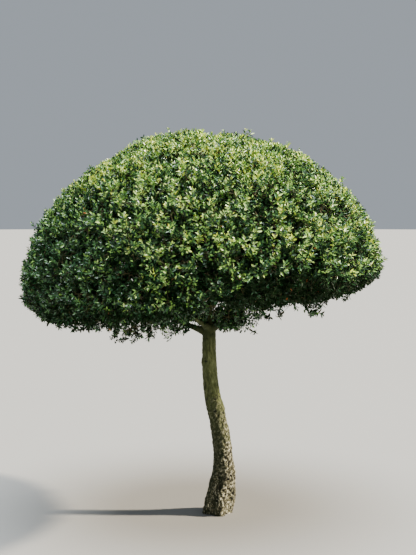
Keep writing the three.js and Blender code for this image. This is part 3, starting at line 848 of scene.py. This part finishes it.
# Steps of tint, dealt out as painted light and shade: paler where the light reaches, darker where it
# does not.
USUAL_TONE = 2.45
TONE_UNEVENNESS = 0.6
SUNNY_ABOVE = 1560
SUNNY_TONE = 0.6
SHADED_BELOW = 1420
SHADED_TONE = 1.35
SHADED_EASE = 220
SUNK_SHADE = 22
INNER_SHADE = 1.5
UNDERSIDE_SHADE = 2.2
HANGING_SHADE = 1.7
LIP_SHADE = 1.9
LIP_EASE = 38
SUNLESS_FROM = -360
SUNLESS_BELOW = 1700
SUNLESS_EASE = 330
SUNLESS_TONE = 1.35
SUNLESS_SHARE = 0.75
SUNLESS_EVENNESS = 0.4
OLDER_LEAF_SHADE = 0.8
TONE_SPREAD = 2.4
SPREAD_OFF_FACE = 0.6
PATCH_SIZE = 165
PATCH_TONE = 1.3
# Tints from the shaded one, for painted shade, through the oldest leaves to the newest, then the
# turned ones:
# colour, roughness, gloss.
TINTS = {
    "shaded_leaf": ("#152c10", 0.50, 0.15),
    "deep_green_leaf": ("#284f2e", 0.23, 0.70),
    "green_leaf": ("#4d773e", 0.24, 0.72),
    "fresh_leaf": ("#8ab553", 0.25, 0.72),
    "pale_new_leaf": ("#cbe486", 0.28, 0.70),
    "yellow_new_leaf": ("#d6e254", 0.34, 0.50),
    "turned_leaf": ("#b0622a", 0.50, 0.35),
}
LAST_LIVE_TINT = 5.0


def leaf_object():
    # The blade is an outline of six points, in two halves folded up along the midrib.
    other_side = [(-x, along) for x, along in reversed(BLADE_SIDE)]
    outline = [(0, 0), *BLADE_SIDE, (0, 1), *other_side]
    verts = [(x * LEAF_WIDTH / 2 * MM, along * LEAF_LENGTH * MM,
              LEAF_CURL * math.sin(CURL_TURN * along) * MM) for x, along in outline]
    mesh = bpy.data.meshes.new("leaf_blade")
    mesh.from_pydata(verts, [], [(0, 1, 2, 3), (0, 3, 4, 5)])
    mesh.materials.append(leaf_materials[0])
    return bpy.data.objects.new("leaf_blade", mesh)


def leaf_material(name, colour, roughness, gloss):
    # A waxy cuticle over one even green gives broad pale glints; the tint changes from leaf to leaf.
    material, tree = new_material(name)
    finish_material(tree, {"Base Color": linear(colour), "Roughness": roughness,
                           "Specular IOR Level": gloss, "IOR": 1.45})
    return material


def leaf_tree(materials):
    """Geometry Nodes: crossed pairs of leaves down every shoot from its tip."""
    tree = bpy.data.node_groups.new("leaves_on_shoots", "GeometryNodeTree")
    for name, kind in [("Geometry", "Geometry"), ("Leaf", "Object"), ("Pairs", "Int"),
                       ("Open Angle", "Float"), ("Turned Share", "Float"), ("Seed", "Int")]:
        tree.interface.new_socket(name, in_out="INPUT", socket_type=f"NodeSocket{kind}")
    tree.interface.new_socket("Geometry", in_out="OUTPUT", socket_type="NodeSocketGeometry")
    given = put(tree, "NodeGroupInput").outputs

    def attribute(name, kind):
        found = put(tree, "GeometryNodeInputNamedAttribute", {"Name": name}, data_type=kind)
        return found.outputs["Attribute"]

    def maths(operation, *values):
        return put(tree, "ShaderNodeMath", dict(enumerate(values)), operation=operation).outputs[0]

    def scaled(vector, scale):
        inputs = {0: vector, "Scale": scale}
        return put(tree, "ShaderNodeVectorMath", inputs, operation="SCALE").outputs[0]

    def added(first, second):
        return put(tree, "ShaderNodeVectorMath", {0: first, 1: second}, operation="ADD").outputs[0]

    def randomly(low, high, seed_step):
        seed = maths("ADD", given["Seed"], seed_step)
        inputs = {"Min": low, "Max": high, "Seed": seed}
        return put(tree, "FunctionNodeRandomValue", inputs, data_type="FLOAT").outputs[1]

    # Every shoot gets one point for each pair, numbered from the tip, and each of those is doubled.
    line = put(tree, "GeometryNodeMeshLine", {"Count": given["Pairs"], "Offset": (0.0, 0.0, 0.0)},
               mode="OFFSET", count_mode="TOTAL")
    number = put(tree, "GeometryNodeInputIndex").outputs[0]
    numbered = put(tree, "GeometryNodeStoreNamedAttribute",
                   {"Geometry": line.outputs["Mesh"], "Name": "pair", "Value": number},
                   data_type="INT", domain="POINT")
    lines = put(tree, "GeometryNodeInstanceOnPoints",
                {"Points": given["Geometry"], "Instance": numbered.outputs["Geometry"]})
    spots = put(tree, "GeometryNodeRealizeInstances", {"Geometry": lines.outputs["Instances"]})
    doubled = put(tree, "GeometryNodeDuplicateElements",
                  {"Geometry": spots.outputs["Geometry"], "Amount": 2}, domain="POINT")
    sided = put(tree, "GeometryNodeStoreNamedAttribute",
                {"Geometry": doubled.outputs["Geometry"], "Name": "opposite",
                 "Value": doubled.outputs["Duplicate Index"]}, data_type="INT", domain="POINT")
    pair = attribute("pair", "INT")
    along = attribute("along", "FLOAT_VECTOR")
    share = maths("DIVIDE", pair, given["Pairs"])
    # Its place: down the shoot from the tip.
    back = maths("MULTIPLY", share, attribute("shoot_length", "FLOAT"))
    offset = scaled(along, maths("MULTIPLY", back, -1.0))
    slid = put(tree, "GeometryNodeSetPosition",
               {"Geometry": sided.outputs["Geometry"], "Offset": offset})
    # Its bearing round the shoot: each pair is turned a quarter from the last.
    quarter = maths("MULTIPLY", pair, math.pi / 2)
    half = maths("MULTIPLY", attribute("opposite", "INT"), math.pi)
    turn = maths("ADD", maths("ADD", quarter, half), randomly(-TURNED_UNEVENLY, TURNED_UNEVENLY, 1))
    away = put(tree, "ShaderNodeVectorRotate",
               {"Vector": attribute("across", "FLOAT_VECTOR"), "Axis": along, "Angle": turn},
               rotation_type="AXIS_ANGLE").outputs[0]
    # How far it opens: the youngest leaves at the tip stay closer to the shoot.
    widening = maths("MULTIPLY", share, math.radians(OPEN_FURTHER))
    open_angle = maths("ADD", maths("ADD", given["Open Angle"], widening), randomly(*OPEN_UNEVENLY, 2))
    forwards = scaled(along, maths("COSINE", open_angle))
    blade_way = added(forwards, scaled(away, maths("SINE", open_angle)))
    # Its face looks up the shoot, tipped a little to one side or the other.
    tip_by = randomly(-TIPPED_SIDEWAYS, TIPPED_SIDEWAYS, 6)
    sideways = put(tree, "ShaderNodeVectorMath", {0: along, 1: blade_way}, operation="CROSS_PRODUCT")
    face_way = added(along, scaled(sideways.outputs[0], tip_by))
    axes = {"Primary Axis": blade_way, "Secondary Axis": face_way}
    turned = put(tree, "FunctionNodeAxesToRotation", axes, primary_axis="Y", secondary_axis="Z")
    # Its size: the leaves at the tip are still small.
    grown_by = maths("MINIMUM", maths("MULTIPLY", share, GAINED_DOWN_SHOOT), MOST_GAINED)
    size = maths("MULTIPLY", attribute("leaf_size", "FLOAT"), randomly(*LEAF_SIZES, 3))
    size = maths("MULTIPLY", size, maths("ADD", grown_by, TIP_LEAF_SIZE))
    blade = put(tree, "GeometryNodeObjectInfo", {"Object": given["Leaf"]})
    # Its tint: the spray's own, a step or so lighter or darker, darker further down the shoot.
    step = maths("MULTIPLY", attribute("tone_spread", "FLOAT"), randomly(-1.0, 1.0, 4))
    tone = maths("ADD", attribute("tone", "FLOAT"), step)
    tone = maths("SUBTRACT", tone, maths("MULTIPLY", share, OLDER_LEAF_SHADE))
    tone = maths("ROUND", maths("MINIMUM", maths("MAXIMUM", tone, 0.0), LAST_LIVE_TINT))
    turned_leaf = maths("LESS_THAN", randomly(0.0, 1.0, 5), given["Turned Share"])
    leaf_tint = maths("ADD", maths("MULTIPLY", tone, maths("SUBTRACT", 1.0, turned_leaf)),
                      maths("MULTIPLY", turned_leaf, LAST_LIVE_TINT + 1.0))
    tinted = put(tree, "GeometryNodeStoreNamedAttribute",
                 {"Geometry": slid.outputs["Geometry"], "Name": "leaf_tint", "Value": leaf_tint},
                 data_type="INT", domain="POINT")
    leaves = put(tree, "GeometryNodeInstanceOnPoints",
                 {"Points": tinted.outputs["Geometry"], "Instance": blade.outputs["Geometry"],
                  "Rotation": turned.outputs["Rotation"], "Scale": size})
    real = put(tree, "GeometryNodeRealizeInstances", {"Geometry": leaves.outputs["Instances"]})
    for number, material in enumerate(materials):
        chosen = put(tree, "FunctionNodeCompare", {2: attribute("leaf_tint", "INT"), 3: number},
                     data_type="INT", operation="EQUAL")
        inputs = {"Geometry": real.outputs["Geometry"], "Selection": chosen.outputs["Result"],
                  "Material": material}
        real = put(tree, "GeometryNodeSetMaterial", inputs)
    put(tree, "NodeGroupOutput", {"Geometry": real.outputs["Geometry"]})
    return tree


leaf_materials = [leaf_material(name, *finish) for name, finish in TINTS.items()]
leaf = leaf_object()
leaves = leaf_tree(leaf_materials)

# Tones are dealt out by spray, as painted light and shade: palest where a tuft stands proud and high
# up, darker in the hollows, further in, underneath, under the lip and low down.
on_face = layers == FACE
tone = USUAL_TONE - sunk / SUNK_SHADE + random.normal(0, TONE_UNEVENNESS, len(tips))
tone += SUNNY_TONE * np.clip((tips[:, 2] - SUNNY_ABOVE) / SHADED_EASE, 0, 1)
tone += PATCH_TONE * np.array([noise.noise(Vector(p / PATCH_SIZE)) for p in tips]) * on_face
tone -= np.array([0, INNER_SHADE, UNDERSIDE_SHADE, HANGING_SHADE])[layers]
tone -= LIP_SHADE * below_lip(tips, LIP_EASE) * on_face
tone -= SHADED_TONE * np.clip((SHADED_BELOW - tips[:, 2]) / SHADED_EASE, 0, 1) * on_face
# Painted shade on the side and low down where the sun does not reach: the tones there are darker and
# more even.
sunless = np.clip((SUNLESS_FROM - tips[:, 0]) / SUNLESS_EASE, 0, 1)
sunless *= np.clip((SUNLESS_BELOW - tips[:, 2]) / SHADED_EASE, 0, 1) * on_face
tone += sunless * (SUNLESS_TONE - tone) * SUNLESS_SHARE
tone_spread = TONE_SPREAD * (1 - SUNLESS_EVENNESS * sunless) * np.where(on_face, 1, SPREAD_OFF_FACE)
leaf_size = np.where(layers == INSIDE, INNER_LEAF_SIZE, 1.0)
leaf_size = leaf_size * random.uniform(*SPRAY_SIZES, len(tips))
across = unit(np.cross(facings, random.normal(0, 1, facings.shape)))

for index, name in enumerate(MASS_NAMES):
    own = np.flatnonzero(owner == index)
    mesh = bpy.data.meshes.new(f"leaves_{name}")
    mesh.from_pydata((tips[own] * MM).tolist(), [], [])
    for label, kind, values in [
        ("along", "FLOAT_VECTOR", facings[own]), ("across", "FLOAT_VECTOR", across[own]),
        ("shoot_length", "FLOAT", shoot_length[own] * MM), ("leaf_size", "FLOAT", leaf_size[own]),
        ("tone", "FLOAT", tone[own]), ("tone_spread", "FLOAT", tone_spread[own]),
    ]:
        attribute = mesh.attributes.new(label, kind, "POINT")
        key = "vector" if kind == "FLOAT_VECTOR" else "value"
        attribute.data.foreach_set(key, values.ravel())
    grown = grow_with(f"leaves_{name}", mesh, leaves,
                      {"Leaf": leaf, "Pairs": PAIRS, "Open Angle": math.radians(LEAVES_OPEN),
                       "Turned Share": TURNED_SHARE, "Seed": index * 10})
    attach(grown, "root")
    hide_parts(f"foliage_{name}")
bpy.data.batch_remove([leaf, leaf.data])

# Floor, light and camera.
# A matt pale floor as wide as a field. A small hard sun stands on the right, as in the photograph,
# with a wide soft light overhead and a pale sky to fill the shade. The camera is at eye level.

FLOOR_RADIUS = 60
disc = bmesh.new()
bmesh.ops.create_circle(disc, cap_ends=True, segments=128, radius=FLOOR_RADIUS)
floor_mesh = bpy.data.meshes.new("floor")
disc.to_mesh(floor_mesh)
disc.free()
floor = new_object("floor", floor_mesh)
floor_material, floor_tree = new_material("matt_pale_floor")
finish_material(floor_tree, {"Base Color": linear("#94928d"), "Roughness": 0.9})
floor_mesh.materials.append(floor_material)

world = bpy.data.worlds.new("pale_sky")
world.use_nodes = True
sky = world.node_tree.nodes["Background"]
sky.inputs["Color"].default_value = linear("#dbe5f0")
sky.inputs["Strength"].default_value = 0.50
bpy.context.scene.world = world

for name, energy, spread, colour, towards in [
    ("key_from_the_right", 9.6, 3, "#fff2dc", (0.81, 0.015, 0.62)),
    ("wide_overhead_fill", 7.6, 48, "#eef5fb", (0.00, -0.08, 1.0)),
]:
    light_data = bpy.data.lights.new(name, "SUN")
    light_data.energy = energy
    light_data.angle = math.radians(spread)
    light_data.color = linear(colour)[:3]
    light = new_object(name, light_data)
    light.rotation_euler = Vector(towards).to_track_quat("Z", "Y").to_euler()

SENSOR_WIDTH = 36
FOCAL_PIXELS = 1023
PHOTO_HEIGHT = 555
EYE = (-0.052, -5.233, 1.6)
PITCH_DOWN = 4.12
camera_data = bpy.data.cameras.new("camera")
camera_data.sensor_width = SENSOR_WIDTH
camera_data.lens = SENSOR_WIDTH * FOCAL_PIXELS / PHOTO_HEIGHT
camera = new_object("camera", camera_data)
camera.location = EYE
camera.rotation_euler = (math.radians(90 - PITCH_DOWN), 0, 0)
bpy.context.scene.camera = camera
